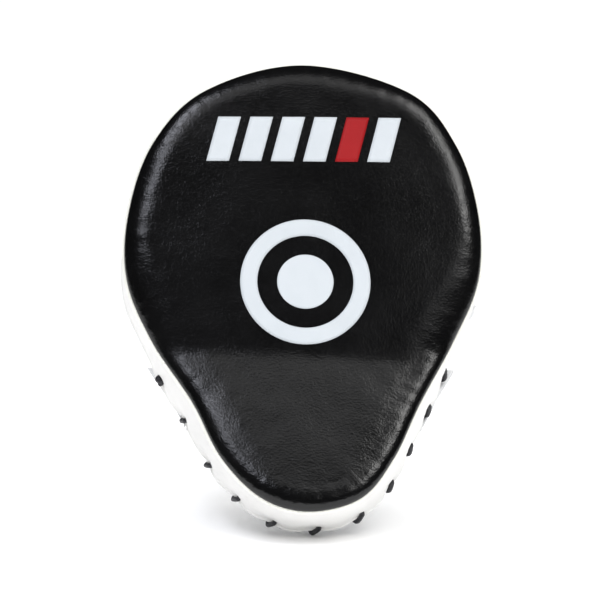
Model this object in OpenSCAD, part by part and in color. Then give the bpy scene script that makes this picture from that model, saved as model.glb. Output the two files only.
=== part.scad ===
// Boxing focus mitt for the right hand, standing on its narrow heel and leaning back.
// Pad coordinates used below: x across, y = depth behind the face, z from the heel to the top.

/* [Pad] */
// Height of the pad from heel to top
pad_h = 270; // [255:1:285]
// Width across the widest part of the face
pad_w = 200; // [190:1:212]
// Thickness from the face to the back panel
pad_t = 47; // [44:1:52]
// Angle by which the heel half bends forward
bend = 12; // [8:1:16]
// Height of the bend above the heel
knee_z = 106; // [104:1:112]
// Angle by which the whole mitt leans back
lean = 25; // [10:1:30]

/* [Shell] */
// Thickness of the face and edge leather
skin = 1.6; // [1.2:0.1:2]
// Depth of the face cover's turned edge
cover_depth = 8; // [7:0.5:10]
// Height of the welt between the face cover and the side band
welt_depth = 1.4; // [1:0.1:2]
// Amount by which the rear rim stands out past the face
flare = 4; // [3:0.5:5]

/* [Target] */
// Radius of the centre dot
dot_r = 16; // [12:0.5:20]
// Inner radius of the ring
ring_in = 27.2; // [24:0.2:29]
// Outer radius of the ring
ring_out = 36.9; // [34:0.1:39]
// Height of the target above the heel
target_z = 136.5; // [134:0.5:145]
// Height of the bar emblem above the heel
emblem_z = 222; // [215:1:225]

/* [Lace] */
// Diameter of the lace
lace_d = 3; // [2.4:0.1:3]

/* [Hand] */
// Inside radius of each finger sleeve
sleeve_r = 11.5; // [10.5:0.1:12]
// Distance between finger sleeves
sleeve_pitch = 26.8; // [26.6:0.1:27.4]
// Inside radius of the thumb sleeve
thumb_r = 12; // [11:0.1:12.4]
// Radius of the palm ball
palm_r = 28; // [24:1:30]
// Height of the palm ball
palm_h = 16; // [12:1:18]
// Inside height of the wrist strap's arch
strap_rise = 44; // [42:1:48]
// Width of the wrist strap
strap_w = 40; // [36:1:42]

/* [Hidden] */

far = 400;            // longer than the mitt in every direction
film = 0.3;           // thickness of the printed films
gap = 0.4;            // air left between soft layers
seam = 0.15;          // air left along the side band's seams
fine = 96;            // steps of a large circle
knee_r = 60;          // radius of the bend

// Pad outline, heel to top: height, half width to the left, half width to the right
HALVES = [[8, 26, 29], [32, 48, 48], [66, 64, 64], [104, 87, 84], [140, 101, 99],
    [180, 100, 100], [222, 86, 88], [254, 56, 61]];
outline_steps = 4;    // outline points between two of the rows above

// ---- pad outline ----
sx = pad_w / 200;
sz = pad_h / 270;
last = len(HALVES) - 1;
CORNERS = concat([[0, 0]],
    [for (h = HALVES) [h[2] * sx, h[0] * sz]],
    [[0, pad_h]],
    [for (i = [last:-1:0]) [-HALVES[i][1] * sx, HALVES[i][0] * sz]]);

// Point at t between b and c on a smooth curve through a, b, c and d
function smooth(a, b, c, d, t) =
    ((2 * b) + (c - a) * t + (2 * a - 5 * b + 4 * c - d) * t * t
        + (3 * b - a - 3 * c + d) * t * t * t) / 2;
function wrap(list, i) = list[(i + len(list)) % len(list)];
EDGE = [for (i = [0:len(CORNERS) - 1], k = [0:outline_steps - 1])
    smooth(wrap(CORNERS, i - 1), wrap(CORNERS, i), wrap(CORNERS, i + 1), wrap(CORNERS, i + 2),
        k / outline_steps)];
function unit(v) = v / norm(v);
NORMALS = [for (i = [0:len(EDGE) - 1])
    let (t = unit(wrap(EDGE, i + 1) - wrap(EDGE, i - 1))) [t.y, -t.x]];
function outline(grow) = [for (i = [0:len(EDGE) - 1]) EDGE[i] + grow * NORMALS[i]];

// Depth of the face at height z: flat above the knee, an arc, then a straight slope to the heel
arc_end_z = knee_z - knee_r * sin(bend);
arc_end_y = -knee_r * (1 - cos(bend));
function face_y(z) =
    z >= knee_z ? 0
    : z > arc_end_z ? sqrt(knee_r * knee_r - pow(knee_z - z, 2)) - knee_r
    : arc_end_y - (arc_end_z - z) * tan(bend);

// ---- placing ----
function leaned(y, z) = [y * cos(lean) + z * sin(lean), z * cos(lean) - y * sin(lean)];
sleeve_wall = 1.5;
sleeve_h = 2 * (sleeve_r + sleeve_wall);
sleeve_z = 172;       // where the finger sleeves begin
SLEEVE_LENGTHS = [48, 54, 50, 42]; // index to little
front_edge = leaned(face_y(0), 0).x;
rear_edge = leaned(pad_t + sleeve_h, sleeve_z + SLEEVE_LENGTHS[1]).x;
module placed() translate([0, -(front_edge + rear_edge) / 2, -lowest])
    rotate([-lean, 0, 0]) children();

// The straight back of the heel half: z runs along it from the end of the knee, y away from it
module on_lower_back() translate([0, pad_t + arc_end_y, arc_end_z]) rotate([-bend, 0, 0]) children();
// The back of the upper half: y away from it
module on_upper_back() translate([0, pad_t, 0]) children();

// ---- pad building blocks ----
// Prism of the outline, through the whole depth
module outline_prism(grow) rotate([90, 0, 0])
    linear_extrude(far, center = true) polygon(outline(grow));

// Layer of the bent pad between two depths
module layer(front, back) {
    KNEE = [for (k = [0:6]) knee_z - (knee_z - arc_end_z) * k / 6];
    LINE = concat([far], KNEE, [-far / 4]);
    rotate([90, 0, 90]) linear_extrude(far, center = true) polygon(concat(
        [for (z = LINE) [face_y(z) + front, z]],
        [for (i = [len(LINE) - 1:-1:0]) [face_y(LINE[i]) + back, LINE[i]]]));
}

// Closed band that runs round the outline: its section joins the points [depth, grow] in turn
module edge_band(section) {
    n = len(EDGE);
    m = len(section);
    polyhedron([for (c = section, p = outline(c[1])) [p.x, face_y(p.y) + c[0], p.y]], concat(
        [for (i = [0:m - 1], j = [0:n - 1]) let (k = (j + 1) % n, u = (i + 1) % m)
            [i * n + j, i * n + k, u * n + k]],
        [for (i = [0:m - 1], j = [0:n - 1]) let (k = (j + 1) % n, u = (i + 1) % m)
            [i * n + j, u * n + k, u * n + j]]));
}

band_front = cover_depth + welt_depth;
band_back = pad_t - skin;
band_full = band_front + 10; // depth at which the side band has swelled out

module front_cover() color("#2b2b2d") placed() difference() {
    intersection() {
        outline_prism(0);
        layer(0, cover_depth);
    }
    intersection() {
        outline_prism(-skin);
        layer(skin, cover_depth + 1);
    }
}

module disc(r) translate([0, 0, target_z]) rotate([90, 0, 0])
    cylinder(h = far, r = r, center = true, $fn = fine);

module target_ring() color("#e9edf2") placed() difference() {
    intersection() {
        disc(ring_out);
        layer(-film, 0);
    }
    disc(ring_in);
}

module target_dot() color("#e9edf2") placed() intersection() {
    disc(dot_r);
    layer(-film, 0);
}

// ---- emblem: a row of slanted bars ----
bar_w = 13;
bar_h = 27;
bar_slant = 7;
bar_pitch = 18.4;
bar_count = 6;
red_bar = 4;
module bar(i) translate([(i - (bar_count - 1) / 2) * bar_pitch, 0, emblem_z]) rotate([90, 0, 0])
    linear_extrude(film) polygon([for (e = [[-1, -1], [1, -1], [1, 1], [-1, 1]])
        [e.x * bar_w / 2 + e.y * bar_slant / 2, e.y * bar_h / 2]]);

module emblem_white_bars() color("#e9edf2") placed()
    for (i = [0:bar_count - 1]) if (i != red_bar) bar(i);

module emblem_red_bar() color("#aa191c") placed() bar(red_bar);

// ---- foam ----
crown_back = 6;
front_back = 20;
core_back = 33;
foam_inset = 2.6;
crown_inset = 10;
lace_channel = 12;

module foam_sheet(front, back, inset) placed() intersection() {
    outline_prism(-inset);
    layer(front, back);
}

module crown_foam() color("#d8d2c0") foam_sheet(skin + gap, crown_back, crown_inset);
module front_foam() color("#e3dcc8") foam_sheet(crown_back, front_back, foam_inset);
module core_foam() color("#8f9296") foam_sheet(front_back, core_back, foam_inset);
module rear_foam() color("#d8d2c0") foam_sheet(core_back, band_back - gap, lace_channel);

// ---- side band and back ----
module welt() color("#f4f4f2") placed() difference() {
    intersection() {
        outline_prism(1.2);
        layer(cover_depth, band_front);
    }
    outline_prism(-1.6);
}

// Distances along the edge from the middle of the heel
function run(i) = i == 0 ? 0 : run(i - 1) + norm(wrap(EDGE, i) - EDGE[i - 1]);
RUNS = [for (i = [0:len(EDGE)]) run(i)];
function find(s, i = 0) = RUNS[i + 1] > s ? i : find(s, i + 1);
function mix(a, b, t) = a * (1 - t) + b * t;
// Edge point at the distance s, moved out by n, at the depth d: [x, y, z]
function on_edge(s, n, d) =
    let (w = s < 0 ? s + RUNS[len(EDGE)] : s,
        i = find(w),
        t = (w - RUNS[i]) / (RUNS[i + 1] - RUNS[i]),
        p = mix(wrap(EDGE, i), wrap(EDGE, i + 1), t)
            + n * unit(mix(wrap(NORMALS, i), wrap(NORMALS, i + 1), t)))
    [p.x, face_y(p.y) + d, p.y];

// Where the lace comes out of the side band, along the edge from the heel's middle: sewn by hand
STITCHES = [134, 109, 82, 57, 32, 7, -17, -41, -66, -97];
knot_s = -126;        // where it comes out for the last time and is knotted
stitch_slant = -7;    // how far a stitch moves along the edge on its way to the back panel
band_hole_d = pad_t - 9;
panel_hole_n = -7;
hole_r = lace_d / 2 + 0.7;

module drill(a, b) translate(a) {
    v = b - a;
    rotate([0, acos(v.z / norm(v)), atan2(v.y, v.x)]) cylinder(h = norm(v), r = hole_r, $fn = 24);
}

module gusset() color("#eceef0") placed() difference() {
    edge_band([[band_front + seam, 0], [band_full, flare - 0.6], [band_back - seam, flare],
        [band_back - seam, flare - skin], [band_full, flare - 0.6 - skin], [band_front + seam, -skin]]);
    for (s = concat(STITCHES, knot_s)) drill(on_edge(s, 0, band_hole_d), on_edge(s, 9, band_hole_d));
}

module back_panel() color("#eceef0") placed() difference() {
    intersection() {
        outline_prism(flare);
        layer(band_back, pad_t);
    }
    for (s = STITCHES) drill(on_edge(s + stitch_slant, panel_hole_n, pad_t - 5),
        on_edge(s + stitch_slant, panel_hole_n, pad_t + 5));
}

// ---- lace: from a knot inside the band, out through it, over the rim, in through the back panel,
// on to the next stitch, and at last out to the second knot ----
lace_r = lace_d / 2;
over = lace_r + 0.3;  // how far the lace's middle stands off the leather
ROUTE = concat(
    [on_edge(STITCHES[0], panel_hole_n, band_hole_d)],
    [for (s = STITCHES) each [
        on_edge(s, -1, band_hole_d),
        on_edge(s, flare + over, band_hole_d),
        on_edge(s + stitch_slant * 0.4, flare + over, pad_t - 1.2),
        on_edge(s + stitch_slant * 0.5, flare + over * 0.8, pad_t + over * 0.8),
        on_edge(s + stitch_slant * 0.6, flare - 1.2, pad_t + over),
        on_edge(s + stitch_slant, panel_hole_n, pad_t + over),
        on_edge(s + stitch_slant, panel_hole_n, pad_t - 5)]],
    [on_edge(knot_s, -1, band_hole_d), on_edge(knot_s, flare + over, band_hole_d)]);
// The mitt rests on the lace where it passes under the heel
lowest = min([for (p = ROUTE) leaned(p.y, p.z).y]) - lace_r;

// Round bar of radius r swept along points
module sweep(path, r, sides = 8) {
    m = len(path);
    DIRS = [for (i = [0:m - 1]) unit(path[min(i + 1, m - 1)] - path[max(i - 1, 0)])];
    function turn(v, a, b) = let (w = cross(a, b), c = a * b)
        v + cross(w, v) + cross(w, cross(w, v)) / (1 + c);
    SIDE0 = unit(cross(DIRS[0], [0.3, 0.9, 0.2]));
    function side(i) = i == 0 ? SIDE0 : turn(side(i - 1), DIRS[i - 1], DIRS[i]);
    function all_sides(i, u) = i == m ? []
        : let (w = i == 0 ? u : turn(u, DIRS[i - 1], DIRS[i])) concat([w], all_sides(i + 1, w));
    SIDES = all_sides(0, SIDE0);
    POINTS = [for (i = [0:m - 1], k = [0:sides - 1]) let (a = 360 * k / sides)
        path[i] + r * (cos(a) * SIDES[i] + sin(a) * cross(DIRS[i], SIDES[i]))];
    polyhedron(POINTS, concat(
        [[for (k = [0:sides - 1]) k]],
        [for (i = [0:m - 2], k = [0:sides - 1]) let (q = (k + 1) % sides)
            [i * sides + k, (i + 1) * sides + q, i * sides + q]],
        [for (i = [0:m - 2], k = [0:sides - 1]) let (q = (k + 1) % sides)
            [i * sides + k, (i + 1) * sides + k, (i + 1) * sides + q]],
        [[for (k = [sides - 1:-1:0]) (m - 1) * sides + k]]));
}

module lace() color("#1c1c1e") placed() sweep(ROUTE, lace_r);

knot_r = 2.6;
module lace_knots() color("#1c1c1e") placed()
    for (p = [ROUTE[0], ROUTE[len(ROUTE) - 1]]) translate(p) sphere(r = knot_r, $fn = 32);

// ---- palm ball ----
palm_x = -4;
palm_z = 120;
ball_r = (palm_r * palm_r + palm_h * palm_h) / (2 * palm_h);

// Cap of a ball: the dome's radius at its base is palm_r less the inset
module dome(inset) on_upper_back() translate([palm_x, 0, palm_z]) rotate([-90, 0, 0]) intersection() {
    translate([0, 0, palm_h - ball_r]) sphere(r = ball_r - inset, $fn = fine);
    cylinder(h = ball_r, r = palm_r + 1, $fn = fine);
}

module palm_ball_cover() color("#eceef0") placed() difference() {
    dome(0);
    dome(skin);
}

module palm_ball_foam() color("#d8d2c0") placed() dome(skin + gap / 2);

// ---- finger sleeves: a tube on a flat sewn base ----
module sleeve(r, length) difference() {
    union() {
        translate([0, r + sleeve_wall, 0]) cylinder(h = length, r = r + sleeve_wall, $fn = fine);
        translate([-r - sleeve_wall, 0, 0]) cube([2 * (r + sleeve_wall), r + sleeve_wall, length]);
    }
    translate([0, r + sleeve_wall, -1]) cylinder(h = length + 2, r = r, $fn = fine);
}

module finger(i) color("#eceef0") placed() on_upper_back()
    translate([(1.5 - i) * sleeve_pitch, 0, sleeve_z]) sleeve(sleeve_r, SLEEVE_LENGTHS[i]);

module index_sleeve() finger(0);
module middle_sleeve() finger(1);
module ring_sleeve() finger(2);
module little_sleeve() finger(3);

thumb_start = [72, 124];
thumb_angle = 42;
thumb_length = 30;
module thumb_sleeve() color("#eceef0") placed() on_upper_back()
    translate([thumb_start.x, 0, thumb_start.y]) rotate([0, thumb_angle, 0])
        sleeve(thumb_r, thumb_length);

// ---- arches over the hand ----
function arch_r(half, rise) = (half * half + rise * rise) / (2 * rise);

// Strip around the point below an arch, between two radii and two angles from the top
module arc_strip(r_in, r_out, from, to, length) linear_extrude(length) intersection() {
    difference() {
        circle(r = r_out, $fn = fine);
        circle(r = r_in, $fn = fine);
    }
    polygon(concat([[0, 0]], [for (k = [0:6]) let (a = from + (to - from) * k / 6)
        2 * r_out * [sin(a), cos(a)]]));
}

// Angle at which a circle of radius r, about the centre of an arch of radius base_r, meets the base
function foot_angle(base_r, rise, r) = acos((base_r - rise) / r);

cover_x = -1;
cover_z = 132;
cover_w = 36;
cover_half = 53.5;    // inside half width
cover_rise = 34;      // inside height
cover_round = 20;     // inside radius of the shoulders
cover_pad = 3;
FEET = [[-1, 8], [1, 3]]; // side and width of each sewn foot

// Tunnel with round shoulders, grown by t from the room inside the hand cover
module tunnel(t, length) linear_extrude(length) {
    r = cover_round + t;
    half = cover_half + t;
    translate([-half, 0]) square([2 * half, cover_rise + t - r]);
    translate([r - half, 0]) square([2 * (half - r), cover_rise + t]);
    for (side = [-1, 1]) translate([side * (half - r), cover_rise + t - r]) circle(r = r, $fn = fine);
}

module over_knuckles() on_upper_back() translate([cover_x, 0, cover_z]) children();

module hand_cover_padding() color("#d8d2c0") placed() over_knuckles() difference() {
    tunnel(cover_pad - gap / 2, cover_w);
    translate([0, 0, -1]) tunnel(0, cover_w + 2);
    translate([-far / 2, skin - far, -1]) cube([far, far, cover_w + 2]);
}

module hand_cover() color("#eceef0") placed() over_knuckles() {
    difference() {
        tunnel(cover_pad + skin, cover_w);
        translate([0, 0, -1]) tunnel(cover_pad, cover_w + 2);
        translate([-far / 2, -far, -1]) cube([far, far, cover_w + 2]);
    }
    for (f = FEET) translate([f[0] * (cover_half + cover_pad + (skin + f[1]) / 2), skin / 2,
        cover_w / 2]) cube([f[1] + skin, skin, cover_w], center = true);
}

// ---- wrist strap ----
strap_half = 52;
strap_t = 2;
patch_t = 1;
strap_r = arch_r(strap_half, strap_rise);
strap_top = strap_r + strap_t + 2 * patch_t + gap;
strap_low = -strap_w + 6;
hinge_angle = -66;
hinge_gap = 1.4;      // degrees left free on each side of the hinge
strap_tip = 46;
anchor_tip = 12;
rim_reach = 7;        // the sewn ends follow the outline this far out

module on_strap_centre() on_lower_back() translate([0, strap_rise - strap_r, strap_low]) children();

// Room for the lace where a stitch crosses a sewn end
notch_w = 13;
module notches() for (s = STITCHES) {
    a = on_edge(s + stitch_slant / 2, panel_hole_n - 3, pad_t);
    v = on_edge(s + stitch_slant / 2, far, pad_t) - a;
    translate(a) rotate([0, -atan2(v.z, v.x), 0])
        translate([0, -far, -notch_w / 2]) cube([far, far + lace_d + 2, notch_w]);
}

// Sewn end: a flat foot from the arch, whose radius is r, out to the rim on one side
module strap_foot(side, r) intersection() {
    on_lower_back() translate([side * (far / 2 + r * sin(foot_angle(strap_r, strap_rise, r)) - 1),
        strap_t / 2, strap_low + strap_w / 2]) cube([far, strap_t, strap_w], center = true);
    outline_prism(rim_reach);
}

module above_back() difference() {
    children();
    on_lower_back() translate([-far / 2, -far, -far / 2]) cube([far, far, far]);
}

module strap_root() color("#eceef0") placed() difference() {
    union() {
        above_back() on_strap_centre() arc_strip(strap_top, strap_top + strap_t,
            -3 - foot_angle(strap_r, strap_rise, strap_top), hinge_angle - hinge_gap, strap_w);
        strap_foot(-1, strap_top);
    }
    notches();
}

module anchor_strap() color("#eceef0") placed() difference() {
    union() {
        above_back() on_strap_centre() arc_strip(strap_r, strap_r + strap_t,
            anchor_tip, 3 + foot_angle(strap_r, strap_rise, strap_r), strap_w);
        strap_foot(1, strap_r);
    }
    notches();
}

module loop_patch() color("#d9dadb") placed() on_strap_centre() translate([0, 0, 3])
    arc_strip(strap_r + strap_t, strap_r + strap_t + patch_t, anchor_tip + 2, strap_tip + 6, strap_w - 6);

module wrist_strap() color("#eceef0") placed() on_strap_centre()
    arc_strip(strap_top, strap_top + strap_t, hinge_angle + hinge_gap, strap_tip, strap_w);

module hook_patch() color("#c9cacc") placed() on_strap_centre() translate([0, 0, 4])
    arc_strip(strap_top - patch_t, strap_top, anchor_tip + 6, strap_tip - 2, strap_w - 8);

tab_length = 16;
tab_w = 30;
module pull_tab() color("#1c1c1e") placed() on_strap_centre() rotate([0, 0, -strap_tip])
    translate([0, strap_top, (strap_w - tab_w) / 2]) cube([tab_length, strap_t, tab_w]);

front_cover();
target_ring();
target_dot();
emblem_white_bars();
emblem_red_bar();
crown_foam();
front_foam();
core_foam();
rear_foam();
welt();
gusset();
back_panel();
lace();
lace_knots();
palm_ball_cover();
palm_ball_foam();
index_sleeve();
middle_sleeve();
ring_sleeve();
little_sleeve();
thumb_sleeve();
hand_cover();
hand_cover_padding();
strap_root();
anchor_strap();
loop_patch();
wrist_strap();
hook_patch();
pull_tab();
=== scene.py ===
from math import acos, atan2, copysign, cos, degrees, exp, pi, radians, sin, sqrt, tan, tau

import bmesh
import bpy
import numpy as np
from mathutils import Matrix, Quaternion, Vector, noise


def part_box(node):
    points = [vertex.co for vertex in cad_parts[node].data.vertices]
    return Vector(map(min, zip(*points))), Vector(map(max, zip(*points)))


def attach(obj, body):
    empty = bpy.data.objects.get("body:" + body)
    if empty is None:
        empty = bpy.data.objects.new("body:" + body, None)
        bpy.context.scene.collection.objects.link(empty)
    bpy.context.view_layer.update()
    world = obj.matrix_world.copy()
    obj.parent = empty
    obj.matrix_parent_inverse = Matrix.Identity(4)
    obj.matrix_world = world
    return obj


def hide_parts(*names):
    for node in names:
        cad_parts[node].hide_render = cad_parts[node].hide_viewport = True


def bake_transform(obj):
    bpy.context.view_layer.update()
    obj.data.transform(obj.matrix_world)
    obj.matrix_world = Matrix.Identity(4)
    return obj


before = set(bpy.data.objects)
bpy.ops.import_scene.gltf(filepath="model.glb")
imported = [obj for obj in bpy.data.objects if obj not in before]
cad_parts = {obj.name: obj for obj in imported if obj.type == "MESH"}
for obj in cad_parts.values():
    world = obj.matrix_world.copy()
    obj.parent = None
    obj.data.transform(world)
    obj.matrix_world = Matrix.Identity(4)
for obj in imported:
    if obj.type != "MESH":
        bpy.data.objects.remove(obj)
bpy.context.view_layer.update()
scene = bpy.context.scene

# ---- the pad's own coordinates
# As in the CAD source: millimetres, x across, y = depth behind the face, z from the heel to the top.
MM = 0.001
LEAN = radians(25)
BEND = radians(12)
KNEE_Z = 106          # where the solid model's bend begins
KNEE_R = 60           # and its radius
SOFT_R = 45           # the leather bends in a tighter arc between the same two planes
PAD_H, PAD_T = 270, 47
COVER_D = 8           # depth of the face cover's turned edge
BAND_FRONT = 9.4      # where the side band begins behind the welt
BAND_BACK = 45.4      # where it meets the back panel
FILM = 0.3            # thickness of the print in the solid model
TARGET_Z = 136.5      # middle of the target
HALVES = [(8, 26, 29), (32, 48, 48), (66, 64, 64), (104, 87, 84), (140, 101, 99),
          (180, 100, 100), (222, 86, 88), (254, 56, 61)]  # height, half width left, right
CENTRE = Vector((0, 130))  # every edge point can be seen from here
CENTRE_E = 90         # and it lies this far inside the edge


def leaned(y, z):
    """Turns the upright pad back by its lean."""
    return y * cos(LEAN) + z * sin(LEAN), z * cos(LEAN) - y * sin(LEAN)


dot_low, dot_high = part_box("target_dot")
dot_middle = (dot_low + dot_high) / 2 / MM
dot_y, dot_z = leaned(-FILM / 2, TARGET_Z)
SHIFT = Vector((0, dot_middle.y - dot_y, dot_middle.z - dot_z))


def place(x, y, z):
    """A point of the pad, in the frame and in metres."""
    return (Vector((x, *leaned(y, z))) + SHIFT) * MM


ARC_END_Z = KNEE_Z - KNEE_R * sin(BEND)
ARC_END_Y = -KNEE_R * (1 - cos(BEND))
SOFT_START = KNEE_Z + (SOFT_R - KNEE_R) * tan(BEND / 2)
SOFT_END = SOFT_START - SOFT_R * sin(BEND)


def face_y(z):
    """Depth of the bent face at height z."""
    if z >= SOFT_START:
        return 0.0
    if z > SOFT_END:
        return sqrt(SOFT_R ** 2 - (SOFT_START - z) ** 2) - SOFT_R
    return ARC_END_Y - (ARC_END_Z - z) * tan(BEND)


def on_heel(x, y, z):
    """A point on the straight back of the heel half: z along it, y away from it."""
    return place(x, PAD_T + ARC_END_Y + y * cos(BEND) + z * sin(BEND),
                 ARC_END_Z - y * sin(BEND) + z * cos(BEND))


def on_upper(x, y, z):
    """A point on the back of the upper half: y away from it."""
    return place(x, PAD_T + y, z)


# ---- outline
def curve(points, closed, steps):
    """A Catmull-Rom curve through points."""
    n = len(points)
    pick = (lambda i: points[i % n]) if closed else (lambda i: points[min(max(i, 0), n - 1)])
    line = []
    for i in range(n if closed else n - 1):
        a, b, c, d = pick(i - 1), pick(i), pick(i + 1), pick(i + 2)
        for k in range(steps):
            t = k / steps
            line.append((2 * b + (c - a) * t + (2 * a - 5 * b + 4 * c - d) * t * t
                         + (3 * b - a - 3 * c + d) * t ** 3) / 2)
    return line if closed else line + [points[-1]]


def resample(line, closed, count):
    """count points evenly along a line, with the line's length."""
    points = line + [line[0]] if closed else line
    runs = [0.0]
    for a, b in zip(points, points[1:]):
        runs.append(runs[-1] + (b - a).length)
    total, out, i = runs[-1], [], 0
    for k in range(count):
        s = total * k / (count if closed else count - 1)
        while i < len(points) - 2 and runs[i + 1] < s:
            i += 1
        out.append(points[i].lerp(points[i + 1], (s - runs[i]) / (runs[i + 1] - runs[i])))
    return out, total


corners = [Vector((0, 0))] + [Vector((right, z)) for z, left, right in HALVES]
corners += [Vector((0, PAD_H))] + [Vector((-left, z)) for z, left, right in reversed(HALVES)]
ROUND = 480           # points round the outline
EDGE, EDGE_RUN = resample(curve(corners, True, 40), True, ROUND)
NORMALS = []
for k in range(ROUND):
    along = (EDGE[(k + 1) % ROUND] - EDGE[k - 1]).normalized()
    NORMALS.append(Vector((along.y, -along.x)))
STEP = EDGE_RUN / ROUND
edge_array = np.array(EDGE)
RING_R = EDGE_RUN / tau


def on_edge(s, n, d):
    """The point at the distance s along the edge from the heel, n outside it and d deep."""
    k = (s / STEP) % ROUND
    i, t = int(k), k - int(k)
    normal = NORMALS[i].lerp(NORMALS[(i + 1) % ROUND], t).normalized()
    p = EDGE[i].lerp(EDGE[(i + 1) % ROUND], t) + normal * n
    return place(p.x, face_y(p.y) + d, p.y)


def inside(x, z):
    """Distance from a point of the face to the edge."""
    here = np.array((x, z))
    a, b = edge_array, np.roll(edge_array, -1, axis=0)
    t = np.clip(((here - a) * (b - a)).sum(1) / ((b - a) ** 2).sum(1), 0, 1)
    return float(np.sqrt(((a + (b - a) * t[:, None] - here) ** 2).sum(1).min()))


def edge_distance(k):
    """Signed distance of the k-th outline point from the heel's middle."""
    s = k * STEP
    return s if s <= EDGE_RUN / 2 else s - EDGE_RUN


# ---- stitches of the lace
STITCHES = [134, 109, 82, 57, 32, 7, -17, -41, -66, -97]  # as in the CAD source
KNOT_S = -126         # where the lace comes out for the last time and is knotted
SLANT = -7            # how far a stitch moves along the edge on its way to the back panel
LACE_R = 1.5          # radius of the lace
BAND_HOLE_D = 38      # depth of its holes in the side band
HOLE_N = -7           # distance of its holes in the back panel from the edge
# Along the edge: the distance from the heel's middle, and how far the rim stands out there.
RIM = [(-371, 1.2), (-240, 1.6), (-178, 1.4), (-158, 0.5), (-141, 0.6), (-128, 2.6), (-112, 4.4),
       (-92, 4.4), (-66, 3.2), (-41, 2.3), (0, 3.0), (32, 3.4), (57, 4.5), (112, 4.5), (128, 3.2),
       (141, 0.6), (158, 0.6), (178, 1.4), (240, 1.6), (371, 1.2)]
LACED_END = 150       # the lace's folds in the leather end this far along the edge


def ease(t):
    """0 up to t = 0, 1 from t = 1, and a soft rise between."""
    t = min(1.0, max(0.0, t))
    return t * t * (3 - 2 * t)


def rim_flare(s):
    """How far the rim stands out past the outline: most round the heel."""
    for (a, low), (b, high) in zip(RIM, RIM[1:]):
        if s <= b:
            return low + (high - low) * ease((s - a) / (b - a))
    return RIM[-1][1]


def bell(x, width):
    """1 at x = 0, falling softly to almost nothing at twice the width."""
    return exp(-(x / width) ** 2)


def pulled(s, width=6.0):
    """How hard the lace pulls the rim in at s, from 0 to 1."""
    return max(bell(s - stitch - SLANT / 2, width) for stitch in STITCHES)


def laced(s):
    """1 along the laced heel half, 0 beyond it."""
    return ease((LACED_END - abs(s)) / 12)


# ---- mesh building
def put(name, data):
    """A new object in the scene."""
    made = bpy.data.objects.new(name, data)
    scene.collection.objects.link(made)
    return made


def piece(name, shape, material, slot, body="mitt", replaces=()):
    """A smooth-shaded piece from (points, faces), riding on a body."""
    points, faces = shape
    mesh = bpy.data.meshes.new(name)
    mesh.from_pydata(points, [], faces)
    soup = bmesh.new()
    soup.from_mesh(mesh)
    bmesh.ops.recalc_face_normals(soup, faces=soup.faces)
    for face in soup.faces:
        face.smooth = True
    soup.to_mesh(mesh)
    soup.free()
    mesh.materials.append(material)
    made = put(name, mesh)
    if body:
        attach(made, body)
    if replaces:
        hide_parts(*replaces)
    return made


def turns(count):
    """Angles that part a full turn evenly."""
    return [tau * k / count for k in range(count)]


def half_turn(steps):
    return [pi * k / steps for k in range(steps + 1)]


def loft(rows, around=True, along=False, capped=False):
    """Quads between rows of points. around joins each row's ends, along the last row to the first,
    and capped closes the first and the last row with one face each."""
    n = len(rows[0])
    faces = []
    for i in range(len(rows) if along else len(rows) - 1):
        for j in range(n if around else n - 1):
            q, k = (j + 1) % n, (i + 1) % len(rows)
            faces.append((i * n + j, i * n + q, k * n + q, k * n + j))
    if capped:
        faces.append(tuple(range(n)))
        faces.append(tuple(range((len(rows) - 1) * n, len(rows) * n)))
    return [p for row in rows for p in row], faces


def slab(tops, unders):
    """A closed sheet between two grids of points with as many rows and columns."""
    points, faces = loft([top + under[::-1] for top, under in zip(tops, unders)])
    n = len(tops[0])
    for base in (0, (len(tops) - 1) * 2 * n):
        faces += [(base + k, base + k + 1, base + 2 * n - 2 - k, base + 2 * n - 1 - k) for k in range(n - 1)]
    return points, faces


def slab_of(rows, columns, pair):
    """A slab whose upper and lower point at row k and column j are pair(k, j)."""
    grid = [[pair(k, j) for j in range(columns)] for k in range(rows)]
    return slab(*([[both[side] for both in row] for row in grid] for side in (0, 1)))


def merged(shapes):
    """Several shapes as one."""
    points, faces = [], []
    for more, quads in shapes:
        faces += [tuple(i + len(points) for i in quad) for quad in quads]
        points += more
    return points, faces


def tube(path, radius, sides=8, closed=False, relief=None):
    """A round bar along a path in metres. relief(angle, length) adds to its radius in millimetres."""
    n = len(path)
    ends = (lambda i: i % n) if closed else (lambda i: min(max(i, 0), n - 1))
    aims = [(path[ends(i + 1)] - path[ends(i - 1)]).normalized() for i in range(n)]
    side = aims[0].cross(Vector((0.3, 0.9, 0.2))).normalized()
    rows, run = [], 0.0
    for i in range(n):
        if i:
            side = (aims[i - 1].rotation_difference(aims[i]) @ side).normalized()
            run += (path[i] - path[i - 1]).length / MM
        across = aims[i].cross(side)
        row = []
        for angle in turns(sides):
            r = radius + (relief(angle, run) if relief else 0)
            row.append(path[i] + (side * cos(angle) + across * sin(angle)) * r * MM)
        rows.append(row)
    return loft(rows, along=closed, capped=not closed)


def edge_mark(k, e):
    """Where the k-th outline point would lie on a plain ring, and e, for creases from the edge inwards."""
    angle = tau * k / ROUND
    return RING_R * cos(angle) * MM, RING_R * sin(angle) * MM, e * MM


def mark(made, marks):
    """Keeps the edge marks of a piece's points for its material."""
    kept = made.data.attributes.new("along_edge", "FLOAT_VECTOR", "POINT")
    kept.data.foreach_set("vector", np.array(marks, np.float32).ravel())


def fan(points, faces, base, centre):
    """Closes the ring of points that starts at base with a point in its middle."""
    points.append(centre)
    faces += [(base + k, base + (k + 1) % ROUND, len(points) - 1) for k in range(ROUND)]


def flat(d):
    """A ring's depth that is the same all round."""
    return lambda s, x, z, e: d


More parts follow.
